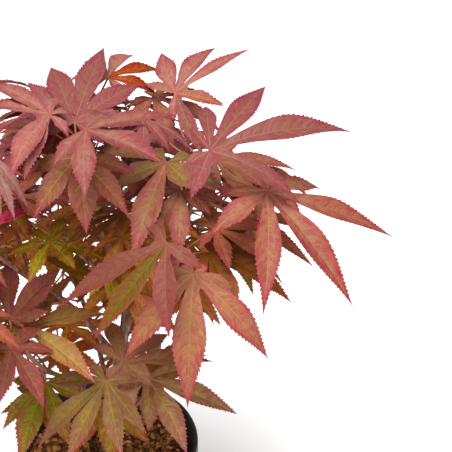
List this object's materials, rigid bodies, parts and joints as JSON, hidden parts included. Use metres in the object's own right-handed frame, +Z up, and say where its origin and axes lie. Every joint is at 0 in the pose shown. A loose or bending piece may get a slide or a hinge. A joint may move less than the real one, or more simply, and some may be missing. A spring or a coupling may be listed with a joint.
{
  "type": "potted japanese maple tree",
  "caption": "Young japanese maple in a round nursery pot: a slender leaning trunk forks into thin boughs, each carrying a mass of drooping, deeply cut palmate leaves.",
  "frame": {"origin": "centre of the pot's flat underside", "axes": "+Z up, -Y the front, and the trunk leans towards +X"},
  "size_m": [0.2875, 0.2165, 0.3231],
  "materials": {
    "pot_plastic": "satin",
    "potting_mix": "matte",
    "bark": "matte",
    "young_bark": "matte",
    "leaf": "matte"
  },
  "bodies": {
    "root": {"pot": "pot_plastic", "potting_mix": "potting_mix", "trunk": "bark", "bough_leader": "young_bark", "bough_right": "young_bark", "bough_front": "young_bark", "bough_left": "young_bark", "bough_back": "young_bark", "bough_low_left": "young_bark", "bough_low_front": "young_bark", "bough_low_back": "young_bark", "bough_low_right": "young_bark", "bough_inner": "young_bark", "bough_left_front": "young_bark", "bough_left_back": "young_bark", "bough_right_back": "young_bark", "foliage_top": "leaf", "foliage_right": "leaf", "foliage_front": "leaf", "foliage_low_left": "leaf", "foliage_low_front": "leaf", "foliage_low_back": "leaf", "foliage_left": "leaf", "foliage_back": "leaf", "foliage_low_right": "leaf", "foliage_inner": "leaf", "foliage_left_front": "leaf", "foliage_left_back": "leaf", "foliage_right_back": "leaf"}
  },
  "joints": []
}
